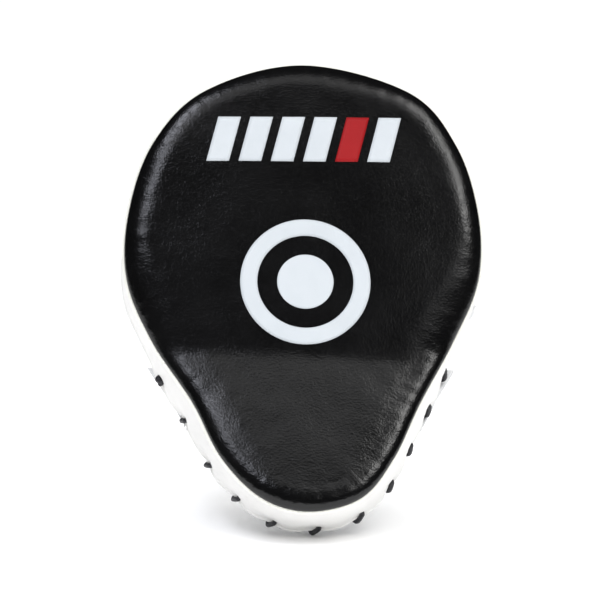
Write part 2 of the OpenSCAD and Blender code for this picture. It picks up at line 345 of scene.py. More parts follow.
def pad_solid(rings):
    """A closed solid round the pad, with its edge marks. A ring is (inset, scale, depth(s, x, z, e)):
    inset moves the outline in, scale shrinks it about the centre, e is how far a point lies inside."""
    rows, marks = [], []
    for inset, scale, depth in rings:
        row = []
        for k in range(ROUND):
            p = EDGE[k] - NORMALS[k] * inset
            p = CENTRE + (p - CENTRE) * scale
            e = inset if scale == 1 else inside(p.x, p.y)
            row.append(place(p.x, face_y(p.y) + depth(edge_distance(k), p.x, p.y, e), p.y))
            marks.append(edge_mark(k, e))
        rows.append(row)
    points, faces = loft(rows)
    for ring, base in ((rings[0], 0), (rings[-1], (len(rows) - 1) * ROUND)):
        middle = place(CENTRE.x, face_y(CENTRE.y) + ring[2](0, CENTRE.x, CENTRE.y, CENTRE_E), CENTRE.y)
        fan(points, faces, base, middle)
        marks.append((0, 0, CENTRE_E * MM))
    return points, faces, marks


def thread(path, pitch=3.4, length=2.3, radius=0.32):
    """Stitches along a path: each a short thread that rises out of the leather and dips back in.
    The path is a list of (point, outward direction) in metres."""
    lifts = [(-1, -0.45), (-0.7, 0.05), (0, 0.22), (0.7, 0.05), (1, -0.45)]  # along, out
    shapes, run, due = [], 0.0, 0.6
    for (a, up_a), (b, up_b) in zip(path, path[1:]):
        step = (b - a).length / MM
        while due <= run + step and step > 0:
            t = (due - run) / step
            middle, up = a.lerp(b, t), up_a.lerp(up_b, t).normalized()
            aim = (b - a).normalized()
            points = [middle + (aim * f * length / 2 + up * lift) * MM for f, lift in lifts]
            shapes.append(tube(points, radius, 6))
            due += pitch
        run += step
    return merged(shapes)


def seam(point, places, *look):
    """Stitches through point(place, 0), standing out towards point(place, 1)."""
    return thread([(point(at, 0), (point(at, 1) - point(at, 0)).normalized()) for at in places], *look)


def ripple(a, b, c=0.0):
    """Smooth noise from -1 to 1, the same on every run."""
    return noise.noise(Vector((a, b, c)))


# ---- materials
def new_material(name, rough, colour, specular):
    mat = bpy.data.materials.new(name)
    mat.use_nodes = True
    shader = mat.node_tree.nodes["Principled BSDF"]
    shader.inputs["Base Color"].default_value = (*colour, 1)
    shader.inputs["Roughness"].default_value = rough
    shader.inputs["Specular IOR Level"].default_value = specular
    return mat, shader


def add(mat, kind, settings=None, **inputs):
    """A node with its settings. Its inputs are given by name, or as i0, i1 by number, and each is a
    value or a socket to link."""
    tree = mat.node_tree
    node = tree.nodes.new("ShaderNode" + kind)
    for key, value in (settings or {}).items():
        setattr(node, key, value)
    for key, value in inputs.items():
        socket = node.inputs[int(key[1]) if key in ("i0", "i1") else key.replace("_", " ")]
        if isinstance(value, bpy.types.NodeSocket):
            tree.links.new(value, socket)
        else:
            socket.default_value = value
    return node


def where(mat):
    return add(mat, "TexCoord").outputs["Object"]


def mottled(mat, shader, dark, light, scale, gloss):
    """Slow changes of colour and gloss over the surface."""
    cloud = add(mat, "TexNoise", Vector=where(mat), Scale=scale, Detail=5.0, Roughness=0.6)
    span = {"Value": cloud.outputs["Fac"], "From_Min": 0.3, "From_Max": 0.7}
    ramp = add(mat, "ValToRGB", Fac=add(mat, "MapRange", **span).outputs["Result"])
    for stop, colour in zip(ramp.color_ramp.elements, (dark, light)):
        stop.color = (*colour, 1)
    rough = add(mat, "MapRange", **span, To_Min=gloss[0], To_Max=gloss[1])
    mat.node_tree.links.new(ramp.outputs["Color"], shader.inputs["Base Color"])
    mat.node_tree.links.new(rough.outputs["Result"], shader.inputs["Roughness"])


def creases(mat, scale, width=0.12):
    """Thin crossing folds, as a height from 0 in the fold to 1."""
    cloud = add(mat, "TexNoise", Vector=where(mat), Scale=scale, Detail=4.0, Roughness=0.55,
                Distortion=0.6)
    off = add(mat, "Math", {"operation": "SUBTRACT"}, i0=cloud.outputs["Fac"], i1=0.5)
    far = add(mat, "Math", {"operation": "ABSOLUTE"}, i0=off.outputs[0])
    return add(mat, "MapRange", Value=far.outputs[0], From_Min=0.0, From_Max=width).outputs["Result"]


def pebbles(mat, scale):
    """Rounded grain cells."""
    return add(mat, "TexVoronoi", {"feature": "SMOOTH_F1"}, Vector=where(mat), Scale=scale,
               Smoothness=0.4).outputs["Distance"]


def fibres(mat, scale):
    return add(mat, "TexNoise", Vector=where(mat), Scale=scale, Detail=2.0).outputs["Fac"]


def edge_streaks(mat, scale, reach):
    """Folds that run in from the edge and fade with distance."""
    spot = add(mat, "Attribute", {"attribute_name": "along_edge"}).outputs["Vector"]
    squeezed = add(mat, "Mapping", Vector=spot, Scale=(1, 1, 0.16)).outputs["Vector"]
    fold = add(mat, "TexNoise", Vector=squeezed, Scale=scale, Detail=3.0, Roughness=0.5)
    depth = add(mat, "SeparateXYZ", Vector=spot).outputs["Z"]
    fade = add(mat, "MapRange", Value=depth, From_Min=0.002, From_Max=reach * MM, To_Min=1.0, To_Max=0.0)
    return add(mat, "Math", {"operation": "MULTIPLY"}, i0=fold.outputs["Fac"],
               i1=fade.outputs["Result"]).outputs[0]


def surface(name, dark, light, clouds, gloss, specular, relief, sheen=0.0):
    """A material between two colours and two roughnesses, with bumps in layers.
    A layer of relief is (kind, its settings, depth in mm, strength)."""
    mat, shader = new_material(name, gloss[1], light, specular)
    shader.inputs["Sheen Weight"].default_value = sheen
    mottled(mat, shader, dark, light, clouds, gloss)
    normal = None
    for kind, settings, depth, strength in relief:
        bump = add(mat, "Bump", Height=kind(mat, *settings), Distance=depth * MM, Strength=strength)
        if normal:
            mat.node_tree.links.new(normal, bump.inputs["Normal"])
        normal = bump.outputs["Normal"]
    mat.node_tree.links.new(normal, shader.inputs["Normal"])
    return mat


def white_leather(name, dark, light, gloss, fold):
    return surface(name, dark, light, 22, gloss, 0.45, [
        (creases, (70,), fold * 0.4, 0.35), (creases, (300,), 0.05, 0.45), (pebbles, (1100,), 0.05, 0.5)])


def print_film(name, dark, light):
    return surface(name, dark, light, 40, (0.45, 0.55), 0.18, [
        (creases, (330,), 0.02, 0.4), (pebbles, (1100,), 0.03, 0.4)])


def foam(name, dark, light, cell):
    return surface(name, dark, light, 60, (0.9, 1.0), 0.2, [(pebbles, (cell,), 0.4, 0.9)])


def cord(name, dark, light, gloss, fibre=1800):
    return surface(name, dark, light, 300, gloss, 0.4, [(fibres, (fibre,), 0.12, 0.6)])


def pile(name, dark, light, scale, depth):
    return surface(name, dark, light, 120, (0.85, 1.0), 0.2, [(pebbles, (scale,), depth, 1.0)], sheen=0.4)


BLACK = surface("black_leather", (0.0015, 0.0015, 0.0016), (0.0028, 0.0028, 0.003), 26, (0.17, 0.22), 0.42, [
    (edge_streaks, (260, 26), 0.3, 0.4), (creases, (420, 0.10), 0.035, 0.55), (pebbles, (900,), 0.095, 0.7)])
BAND = surface("band_leather", (0.68, 0.675, 0.66), (0.745, 0.74, 0.725), 22, (0.32, 0.44), 0.45, [
    (edge_streaks, (190, 24), 0.4, 0.4), (creases, (240,), 0.06, 0.45), (pebbles, (1100,), 0.05, 0.5)])
WHITE_LOW, WHITE_HIGH = (0.61, 0.615, 0.62), (0.68, 0.685, 0.69)
WHITE = white_leather("white_leather", WHITE_LOW, WHITE_HIGH, (0.34, 0.46), 0.35)
STRAP = white_leather("strap_leather", WHITE_LOW, WHITE_HIGH, (0.36, 0.48), 0.25)
PIPING = white_leather("welt_leather", (0.68, 0.68, 0.63), (0.76, 0.76, 0.71), (0.28, 0.36), 0.1)
PRINT_WHITE = print_film("print_white", (0.435, 0.465, 0.49), (0.465, 0.495, 0.52))
PRINT_RED = print_film("print_red", (0.245, 0.004, 0.006), (0.275, 0.006, 0.008))
SOFT_FOAM = foam("soft_foam", (0.66, 0.60, 0.45), (0.80, 0.75, 0.60), 1400)
DENSE_FOAM = foam("dense_foam", (0.20, 0.21, 0.22), (0.30, 0.31, 0.33), 2200)
CORD = cord("waxed_cord", (0.008, 0.008, 0.010), (0.020, 0.020, 0.024), (0.42, 0.6))
THREAD = cord("sewing_thread", (0.66, 0.66, 0.66), (0.82, 0.82, 0.82), (0.5, 0.7))
WEBBING = cord("black_webbing", (0.010, 0.010, 0.011), (0.026, 0.026, 0.028), (0.65, 0.85), 1200)
LOOPS = pile("loop_pile", (0.62, 0.62, 0.61), (0.78, 0.78, 0.77), 1500, 0.7)
HOOKS = pile("hook_tape", (0.52, 0.52, 0.51), (0.70, 0.70, 0.69), 1100, 0.5)

# ---- face cover
ROLL_A = 24           # greatest width of the rounded shoulder
ROLL_HEEL = 13        # its width at the bottom of the heel
ROLL_TOP = 15         # its width round the upper half
ROLL_D = 7.4          # its depth
CROWN = 1.2           # how far the padding lifts the face
COVER_T = 1.2         # thickness of the cover


def shoulder(e, s=371):
    """Depth of the rounded shoulder at e inside the edge, s along it from the heel."""
    width = ROLL_HEEL + (ROLL_A - ROLL_HEEL) * ease((abs(s) - 20) / 45)
    width += (ROLL_TOP - ROLL_A) * ease((abs(s) - 150) / 60)
    t = max(0.0, 1 - e / width)
    return ROLL_D * (1 - sqrt(max(0.0, 1 - t * t)))


def crease_drop(x, z):
    """The leather folds a little lower than the knee of the pad, and lower still towards the right."""
    return face_y(z + 4 + 2.5 * ease((x + 25) / 40)) - face_y(z)


def face_depth(s, x, z, e):
    """Depth of the cover's outside: shoulder, crown, slow unevenness, and puckers from the seam inwards."""
    depth = shoulder(e, s) - CROWN * ease(e / 60) + crease_drop(x, z) * ease(e / 15)
    depth += 0.35 * ripple(x / 38, z / 38) * ease(e / 15)
    depth += 0.12 * ripple(x / 9, z / 11, 4) * ease(e / 6)
    pucker = ripple(s / 5.5, e / 30, 9) + 0.6 * ripple(s / 2.9, e / 24, 17)
    return depth + 0.22 * pucker * bell(e - 4, 7) * ease(e / 2.5)


ROLL_STEPS = 16
roll = [ROLL_A * (1 - cos(pi / 2 * k / ROLL_STEPS)) for k in range(ROLL_STEPS + 1)]
SPREAD = [1 - 0.97 * (k / 26) for k in range(1, 27)]  # scales of the rings towards the centre


def cover_rings(inner):
    """Rings of the cover's outside from the centre out, then its inside back to the centre."""
    under = lambda s, x, z, e: shoulder(max(0, e - inner), s) + inner
    rings = [(ROLL_A, k, face_depth) for k in reversed(SPREAD)]
    rings += [(e, 1, face_depth) for e in reversed(roll)]
    rings += [(0.1, 1, flat(COVER_D - 0.1)), (1.3, 1, flat(COVER_D + 0.3))]
    rings += [(inner + e, 1, under) for e in roll[3::3]]
    return rings + [(ROLL_A + inner, k, flat(inner)) for k in SPREAD[::4]]


points, faces, marks = pad_solid(cover_rings(COVER_T))
face_cover = piece("face_cover", (points, faces), BLACK, "face_leather", replaces=["front_cover"])
mark(face_cover, marks)


def on_face(x, z, lift):
    """A point lifted off the cover's outside."""
    e = inside(x, z)
    return place(x, face_y(z) + face_depth(0, x, z, e) - lift, z)


def film(rows, around=False):
    """A thin print that lies on the cover: rows of (x, z)."""
    top, under = ([[on_face(x, z, lift) for x, z in row] for row in rows] for lift in (0.22, -0.2))
    return loft(top + under[::-1], along=True) if around else slab(top, under)


def circle(radius, count=192):
    return [(radius * sin(a), TARGET_Z + radius * cos(a)) for a in turns(count)]


def disc_rows(radius, count):
    """A square grid pressed round into a disc."""
    line = [2 * k / count - 1 for k in range(count + 1)]
    return [[(radius * u * sqrt(1 - v * v / 2), TARGET_Z + radius * v * sqrt(1 - u * u / 2))
             for u in line] for v in line]


RING_IN, RING_OUT, DOT_R = 27.2, 36.9, 16  # radii of the target
piece("printed_ring", film([circle(RING_IN + (RING_OUT - RING_IN) * k / 5) for k in range(6)], True),
      PRINT_WHITE, "white_print", replaces=["target_ring"])
piece("printed_dot", film(disc_rows(DOT_R, 24)), PRINT_WHITE, "white_print", replaces=["target_dot"])

BAR_W, BAR_H, BAR_SLANT, BAR_PITCH, BAR_Z = 13, 27, 7, 18.4, 222
BAR_COUNT, RED_BAR = 6, 4


def bar(i):
    """The i-th slanted bar above the target, from the left."""
    rows = []
    for v in (k / 12 for k in range(13)):
        middle = (i - (BAR_COUNT - 1) / 2) * BAR_PITCH + (v - 0.5) * BAR_SLANT
        rows.append([(middle + (u / 6 - 0.5) * BAR_W, BAR_Z + (v - 0.5) * BAR_H) for u in range(7)])
    return film(rows)


piece("printed_white_bars", merged([bar(i) for i in range(BAR_COUNT) if i != RED_BAR]),
      PRINT_WHITE, "white_print", replaces=["emblem_white_bars"])
piece("printed_red_bar", bar(RED_BAR), PRINT_RED, "red_print", replaces=["emblem_red_bar"])

# ---- foam inside
FOAM_SHEETS = [  # name, front, back and inset in mm, material and its slot
    ("crown_foam", 2.6, 6, 12, SOFT_FOAM, "soft_foam"),
    ("front_foam", 6, 20, 3.2, SOFT_FOAM, "soft_foam"),
    ("core_foam", 20, 33, 2.6, DENSE_FOAM, "dense_foam"),
    ("rear_foam", 33, 44.8, 12, SOFT_FOAM, "soft_foam")]


def foam_sheet(front, back, inset):
    """A sheet of foam with rounded edges."""
    soft = min(2.0, (back - front) / 2 - 0.1)
    quarter = [pi / 2 * k / 4 for k in range(5)]
    rings = [(inset + soft, k, flat(front)) for k in (0.05, 0.5)]
    rings += [(inset + soft * (1 - sin(a)), 1, flat(front + soft * (1 - cos(a)))) for a in quarter]
    rings += [(inset + soft * (1 - cos(a)), 1, flat(back - soft * (1 - sin(a)))) for a in quarter]
    return pad_solid(rings + [(inset + soft, k, flat(back)) for k in (0.5, 0.05)])[:2]


for name, front, back, inset, material, slot in FOAM_SHEETS:
    block = piece(name + "_block", foam_sheet(front, back, inset), material, slot, replaces=[name])

# ---- welt
WELT_R = 1.05
WELT_PITCH = 3.2      # the stitches pinch the welt this often


def welt_path():
    pinch = lambda k: bell((k * STEP) % WELT_PITCH - WELT_PITCH / 2, 0.6)
    return [on_edge(k * STEP, 0.45 - 0.12 * pinch(k), 8.75) for k in range(ROUND)]


welt = tube(welt_path(), WELT_R, 12, closed=True,
            relief=lambda angle, run: -0.08 * bell(run % WELT_PITCH - WELT_PITCH / 2, 0.5))
piece("welt_piping", welt, PIPING, "welt_leather", replaces=["welt"])
# Just in front of the piping, the face cover is sewn to it.
cover_edge = seam(lambda k, lift: on_edge(k * STEP, 0.12 + lift, 7.5 - 0.3 * lift), range(ROUND + 1),
                  2.9, 1.9, 0.27)
piece("cover_edge_stitches", cover_edge, PIPING, "welt_leather")

# ---- side band
BAND_STEPS = 26       # rings across the band
SEAM_D = 41.6         # depth of the seam before the rear rim
BAND_T = 1.5          # thickness of its leather


def band_swell(s, d):
    """How far the side band stands out past the outline."""
    t = (d - BAND_FRONT) / (BAND_BACK - BAND_FRONT)
    swell = rim_flare(s) * (1 - (1 - min(1, max(0, t))) ** 2.8)
    swell += 0.4 * ripple(s / 34, d / 22, 2) * ease(t * 4)
    rear = ease((d - 26) / 14)
    pull = pulled(s)
    # Drawn in by the lace, with small folds that gather towards each stitch.
    swell += rear * (0.5 - 1.7 * pull + 0.26 * ripple(s / 2.6, d / 16, 7) * pull) * laced(s)
    for hole in STITCHES:
        if abs(s - hole) < 9:
            swell -= 0.8 * bell(s - hole, 2.4) * bell(d - BAND_HOLE_D, 2.6)
    swell -= 1.6 * bell(s - KNOT_S, 4.5) * bell(d - BAND_HOLE_D, 4)
    swell += 0.16 * ripple(s / 4.2, d / 30, 5) * bell(d - BAND_FRONT - 3, 6)
    return swell - 0.8 * bell(d - SEAM_D, 0.7) + 0.35 * bell(d - SEAM_D - 2.0, 1.1)


def band_rows():
    """Rings of the band's outside from front to back, then its inside back to the front."""
    depths = [BAND_FRONT + 0.2 + (SEAM_D - 2 - BAND_FRONT) * k / BAND_STEPS for k in range(BAND_STEPS + 1)]
    depths += [SEAM_D + d for d in (-1.0, -0.5, 0, 0.5, 1.0, 2.0)] + [BAND_BACK - 0.15]
    layers = [(0, d) for d in depths] + [(BAND_T, d) for d in reversed(depths[::4] + depths[-1:])]
    rows = [[on_edge(k * STEP, band_swell(edge_distance(k), d) - under, d) for k in range(ROUND)]
            for under, d in layers]
    return rows, [edge_mark(k, BAND_BACK - d) for _, d in layers for k in range(ROUND)]


rows, marks = band_rows()
mark(piece("side_band", loft(rows, along=True), BAND, "band_leather", replaces=["gusset"]), marks)

# ---- back panel
RIM_R = 0.9           # radius of its rounded edge
UNDER_D = BAND_BACK + 0.05  # depth of its inside


def rim_out(s):
    """How far the panel's rim stands out past the outline."""
    return rim_flare(s) + 0.45 - 1.5 * pulled(s)


def panel_depth(s, x, z, e):
    """Depth of the panel's outside: flat under what is sewn on, and pulled in by the lace."""
    depth = PAD_T - 0.12 * (1 + ripple(x / 26, z / 26, 3))
    pull = pulled(s)
    depth += (0.3 - 1.3 * pull) * bell(e + 3, 5) * laced(s)
    hole = min(abs(s - stitch - SLANT) for stitch in STITCHES)
    return depth - 0.9 * bell(hole, 2.4) * bell(e + HOLE_N, 2.6)


def rim_row(turn):
    """One ring of the rim's rounded edge: turn runs from the outside, 0, to the inside, pi."""
    row = []
    for k in range(ROUND):
        s = edge_distance(k)
        n = rim_out(s) - RIM_R * (1 - sin(turn))
        d = panel_depth(s, 0, 0, -rim_out(s)) - RIM_R * (1 - cos(turn))
        row.append(on_edge(k * STEP, n, d))
    return row


def pad_rows(rings):
    """The rows of a pad_solid, and the point in the middle of the last."""
    points = pad_solid(rings)[0]
    return [points[i * ROUND:(i + 1) * ROUND] for i in range(len(rings))], points[-1]


def panel_shape():
    """The outside from the centre to the rim, round it, and back along the inside."""
    outside = [(12, k, panel_depth) for k in reversed(SPREAD[::2])]
    outside += [(e, 1, panel_depth) for e in (12, 10.5, 9, 8, 7, 6, 5, 3.5, 2, 0.5)]
    rows, outer_middle = pad_rows(outside)
    rows += [rim_row(turn) for turn in half_turn(6)]
    rows += [[on_edge(k * STEP, -inset, UNDER_D) for k in range(ROUND)] for inset in (0, 12)]
    inside_rows, inner_middle = pad_rows([(12, k, flat(UNDER_D)) for k in SPREAD[::6]])
    rows += inside_rows
    points, faces = loft(rows)
    fan(points, faces, 0, outer_middle)
    fan(points, faces, (len(rows) - 1) * ROUND, inner_middle)
    return points, faces


piece("rear_panel", panel_shape(), WHITE, "back_leather", replaces=["back_panel"])

# ---- lace
HUG = LACE_R - 0.25   # the lace's middle above the leather it is pulled into
LACE_STEP = 0.55      # distance of the points along it
KNOT_SIZE, KNOT_R = 0.66, 1.45  # scale of a knot's path, and radius of its pulled cord


def stitch_route(s):
    """Out through the side band, over the rim and in through the back panel."""
    rim = rim_out(s + SLANT / 2)
    stops = [(0, band_swell(s, BAND_HOLE_D) + 0.6, BAND_HOLE_D),  # part of the slant, n, depth
             (0.14, band_swell(s - 1, 40) + HUG, BAND_HOLE_D + 2.6),
             (0.34, rim + HUG, PAD_T - 3), (0.46, rim + HUG - 0.2, PAD_T - 0.4),
             (0.55, rim - 0.6, PAD_T + HUG - 0.3), (0.75, HOLE_N / 3, PAD_T + HUG),
             (0.97, HOLE_N + 1, PAD_T + 0.4), (1, HOLE_N, PAD_T - 5)]
    return [on_edge(s + 0.3, -1.5, BAND_HOLE_D - 1)] + [on_edge(s + SLANT * f, n, d) for f, n, d in stops]


first, last = on_edge(STITCHES[0], HOLE_N, BAND_HOLE_D), on_edge(KNOT_S, 3.0, BAND_HOLE_D)
route = [first] + [p for s in STITCHES for p in stitch_route(s)] + [on_edge(KNOT_S, -1, BAND_HOLE_D), last]
lace_line = curve(route, False, 10)
lace_length = sum((b - a).length for a, b in zip(lace_line, lace_line[1:]))
lace_line, _ = resample(lace_line, False, int(lace_length / LACE_STEP / MM))


def braid(angle, run):
    """Diamond relief of an eight-strand braid."""
    return 0.11 * cos(2 * angle + run * 1.5) * cos(2 * angle - run * 1.5)


piece("lace_cord", tube(lace_line, LACE_R - 0.08, 14, relief=braid), CORD, "lace_cord", replaces=["lace"])


def knot(middle, up, aim):
    """A pulled overhand knot: a tight trefoil of cord."""
    side = up.cross(aim).normalized()
    points = [middle + (aim * (sin(t) + 2 * sin(2 * t)) + side * (cos(t) - 2 * cos(2 * t))
                        - up * sin(3 * t) * 1.4) * KNOT_SIZE * MM for t in turns(72)]
    return tube(points, KNOT_R, 12, closed=True,
                relief=lambda angle, run: 0.07 * cos(3 * angle + run * 2.0))


def across_edge(s, n):
    """Direction across the edge at s: out of it for n above 0, into it below."""
    return (on_edge(s, n, BAND_HOLE_D) - on_edge(s, 0, BAND_HOLE_D)).normalized()


rearward = (place(0, 60, 0) - place(0, 0, 0)).normalized()
knots = [knot(first, across_edge(STITCHES[0], -9), rearward), knot(last, across_edge(KNOT_S, 9), rearward)]
piece("lace_end_knots", merged(knots), CORD, "lace_cord", replaces=["lace_knots"])

# ---- palm ball
PALM_X, PALM_Z, PALM_R, PALM_H = -4, 120, 28, 16
BALL_R = (PALM_R ** 2 + PALM_H ** 2) / (2 * PALM_H)  # radius of the ball it is a cap of


def ball_point(r, y, turn):
    return on_upper(PALM_X + r * cos(turn), y, PALM_Z + r * sin(turn))


def palm_row(r, y):
    """One ring of the ball, with three seams over the crown and gathers at the base."""
    row = []
    for turn in turns(144):
        groove = sum(bell(r * sin(turn - pi * m / 3), 0.9) for m in range(3))
        lift = -0.5 * min(1, groove) * ease((PALM_R - r) / 4)
        gather = 0.35 * ripple(cos(turn) * 9, sin(turn) * 9, r / 14) * bell(r - PALM_R + 3, 5)
        grow = 1 + (lift + gather) / max(r, 8)
        row.append(ball_point(r * grow if r > 2 else r, y + lift, turn))
    return row


def dome_line(inset, count):
    """(radius, height) from the base to the crown of the ball."""
    r = BALL_R - inset
    low = acos((BALL_R - PALM_H) / r)
    tilts = [low * (1 - k / count) for k in range(count)]
    return [(r * sin(a), PALM_H - BALL_R + r * cos(a)) for a in tilts]


flange = [(3.2, 0.1), (3.4, 0.6), (3.0, 1.0), (1.6, 0.95), (0.4, 1.3)]  # past the ball's base, height
dome = [(PALM_R + out, y) for out, y in flange]
dome += [(r, y + 0.6 * (1 - y / PALM_H)) for r, y in dome_line(0, 28)[1:]]
palm = piece("palm_ball", loft([palm_row(r, y) for r, y in dome], capped=True), WHITE, "palm_leather",
             replaces=["palm_ball_cover"])
foam_rows = [[ball_point(r, y, turn) for turn in turns(48)] for r, y in dome_line(2.4, 10)]
palm_foam = piece("palm_ball_core", loft(foam_rows, capped=True), SOFT_FOAM, "soft_foam",
                  replaces=["palm_ball_foam"])
palm_seam = seam(lambda turn, lift: ball_point(PALM_R + 1.9, 1.0 + lift, turn), turns(90) + [tau])
piece("palm_ball_stitches", palm_seam, THREAD, "palm_leather")

# ---- finger and thumb sleeves
SLEEVE_R, SLEEVE_WALL, SLEEVE_PITCH, SLEEVE_Z = 11.5, 1.5, 26.8, 172
SLEEVES = [("index_sleeve", 48), ("middle_sleeve", 54), ("ring_sleeve", 50), ("little_sleeve", 42)]
THUMB_R, THUMB_X, THUMB_Z, THUMB_ANGLE, THUMB_LENGTH = 12, 72, 124, radians(42), 30
HEM = 5               # width of the turned hem at a sleeve's mouth


def sleeve_sections(r):
    """Outside and inside of a sleeve's section, (x, y) with y away from the panel."""
    half = r + SLEEVE_WALL
    right = [(half - 0.1, 0.05), (half, 0.7), (half - 0.7, 1.7), (half - 0.6, 3.6), (half - 0.15, 7),
             (half, 10)]
    arch = [(half * cos(a), half + half * sin(a)) for a in half_turn(24)]
    outside = right + arch + [(-x, y) for x, y in reversed(right)]
    outside += [(-half + 2 * half * k / 6, 0.05) for k in range(1, 6)]
    inside_line = []
    for x, y in outside:
        a = atan2(y - half, x)
        c, s = cos(a), sin(a)
        if s < 0:
            c, s = copysign(abs(c) ** 0.7, c), -abs(s) ** 0.7
        inside_line.append((r * c, half + r * s))
    return outside, inside_line


def sleeve_shape(r, length, to_frame, seed):
    """A tube of leather on a flat sewn base, with a turned hem at each mouth and soft folds between."""
    outside, inside_line = sleeve_sections(r)
    half = r + SLEEVE_WALL
    stops = [(0.0, -0.6), (0.3, 0.1), (1.2, 0.5), (HEM - 1, 0.45), (HEM, -0.1), (HEM + 0.8, 0.0)]
    steps = [HEM + 0.8 + (length - 2 * HEM - 1.6) * k / 12 for k in range(1, 12)]
    line = stops + [(z, 0.0) for z in steps] + [(length - z, t) for z, t in reversed(stops)]
    rows = []
    for z, thick in line:
        row = []
        for x, y in outside:
            up = ease((y - 2) / 8)
            free = ease((z - HEM) / 6) * ease((length - HEM - z) / 6)
            grow = up * (0.45 * ripple(x / 6, y / 6, seed + z / 9) * free + thick)
            direction = Vector((x, y - half)).normalized() if y > half else Vector((copysign(1, x), 0))
            row.append(to_frame(x + direction.x * grow, y + direction.y * grow, z))
        rows.append(row)
    for z in [length - 0.4] + [length - length * k / 8 for k in range(1, 8)] + [0.4]:
        rows.append([to_frame(x, y, z) for x, y in inside_line])
    return loft(rows, along=True)


def sleeve_threads(r, length, to_frame):
    """The seams of the hems at both mouths, over the arch."""
    half = r + SLEEVE_WALL

    def at_hem(z):
        return lambda a, lift: to_frame((half + 0.42 + lift) * cos(a),
                                        half + (half + 0.42 + lift) * sin(a), z)
    return merged([seam(at_hem(z), half_turn(60), 3.0, 2.0, 0.28) for z in (HEM - 1.4, length - HEM + 1.4)])


def finger_frame(i):
    return lambda x, y, z: on_upper((1.5 - i) * SLEEVE_PITCH + x, y, SLEEVE_Z + z)


def thumb_frame(x, y, z):
    return on_upper(THUMB_X + x * cos(THUMB_ANGLE) + z * sin(THUMB_ANGLE), y,
                    THUMB_Z - x * sin(THUMB_ANGLE) + z * cos(THUMB_ANGLE))


sleeves = [(name, SLEEVE_R, length, finger_frame(i), 3.0 * i) for i, (name, length) in enumerate(SLEEVES)]
sleeves.append(("thumb_sleeve", THUMB_R, THUMB_LENGTH, thumb_frame, 17.0))
for name, r, length, to_frame, seed in sleeves:
    shape = sleeve_shape(r, length, to_frame, seed)
    piece(name + "_leather", shape, WHITE, "sleeve_leather", replaces=[name])
    piece(name + "_stitches", sleeve_threads(r, length, to_frame), THREAD, "sleeve_leather")

# ---- cloth
CLOTH_FRAMES = 20
PUFF_PRESSURE, PUFF_CAP = 4.0, 2.2  # the cap in mm


def puff(made, sewn):
    """Swells a piece with Cloth, its sewn points held, and smooths it once."""
    rest = [v.co.copy() for v in made.data.vertices]
    group = made.vertex_groups.new(name="sewn")
    group.add(sewn, 1.0, "REPLACE")
    cloth = made.modifiers.new("cloth", "CLOTH")
    settings = cloth.settings
    settings.quality, settings.mass = 8, 0.25
    settings.tension_stiffness = settings.compression_stiffness = 25
    settings.shear_stiffness, settings.bending_stiffness = 12, 0.6
    settings.use_pressure, settings.uniform_pressure_force = True, PUFF_PRESSURE
    settings.vertex_group_mass = "sewn"
    settings.effector_weights.gravity = 0
    cloth.point_cache.frame_start, cloth.point_cache.frame_end = 1, CLOTH_FRAMES
    for step in range(1, CLOTH_FRAMES + 1):
        scene.frame_set(step)
    swollen = made.evaluated_get(bpy.context.evaluated_depsgraph_get()).to_mesh()
    moved = [v.co.copy() for v in swollen.vertices]
    made.modifiers.remove(cloth)
    made.vertex_groups.remove(group)
    for vertex, a, b in zip(made.data.vertices, rest, moved):
        step = b - a
        if step.length > PUFF_CAP * MM:
            step = step.normalized() * PUFF_CAP * MM
        vertex.co = a + step
    scene.frame_set(1)
    finer = made.modifiers.new("finer", "SUBSURF")
    finer.levels = finer.render_levels = 1


# ---- padded cover over the knuckles
COVER_X, COVER_Z, COVER_W, COVER_HALF, COVER_RISE, COVER_ROUND = -1, 132, 36, 53.5, 34, 20
COVER_PAD, SKIN = 3, 1.6  # thickness of the padding and of both leathers
ACROSS = 15           # points from rim to rim


def tunnel_line(t, count=64):
    """(x, y, normal x, normal y) along an arch with round shoulders, t outside the room for the hand."""
    half, top, r = COVER_HALF + t, COVER_RISE + t, COVER_ROUND + t
    line = [Vector((-half, 0.0)), Vector((-half, top - r))]
    line += [Vector((r - half - r * cos(a), top - r + r * sin(a)))
             for a in (pi / 2 * k / 8 for k in range(1, 9))]
    line += [Vector((-p.x, p.y)) for p in reversed(line)]
    points, _ = resample(line, False, count)
    out = []
    for k, p in enumerate(points):
        along = (points[min(k + 1, count - 1)] - points[max(k - 1, 0)]).normalized()
        out.append((p.x, p.y, -along.y, along.x))
    return out


def on_cover(x, y, z):
    return on_upper(COVER_X + x, y, COVER_Z + z)


def cover_shape():
    """The padded arch before it swells: thin where its rims are bound, thicker between."""
    line = tunnel_line((COVER_PAD + SKIN) / 2, 76)

    def pair(i, k):
        (x, y, nx, ny), u = line[i], k / (ACROSS - 1)
        half_t = 0.75 + (1.2 * sin(pi * u) ** 0.6 if 0 < k < ACROSS - 1 else 0)
        z = 1.0 + (COVER_W - 2) * u
        return [on_cover(x + nx * t, y + ny * t, z) for t in (half_t, -half_t)]
    return slab_of(len(line), ACROSS, pair)


points, faces = cover_shape()
row_count = len(points) // (2 * ACROSS)
sewn = set()
for i in range(row_count):
    base = i * 2 * ACROSS
    sewn |= {base, base + ACROSS - 1, base + ACROSS, base + 2 * ACROSS - 1}
    if i % 15 == 0 or i == row_count - 1:
        sewn |= set(range(base, base + 2 * ACROSS))
hand_cover = piece("knuckle_cover", (points, faces), WHITE, "cover_leather",
                   replaces=["hand_cover", "hand_cover_padding"])
puff(hand_cover, sorted(sewn))


def binding_shape(z):
    """A folded leather binding along one rim of the cover, down to its sewn feet."""
    path = [on_cover(x, y, z) for x, y, *_ in tunnel_line((COVER_PAD + SKIN) / 2, 120)]
    return tube(path, 1.35, 10, relief=lambda angle, run: 0.1 * cos(run * 1.7))


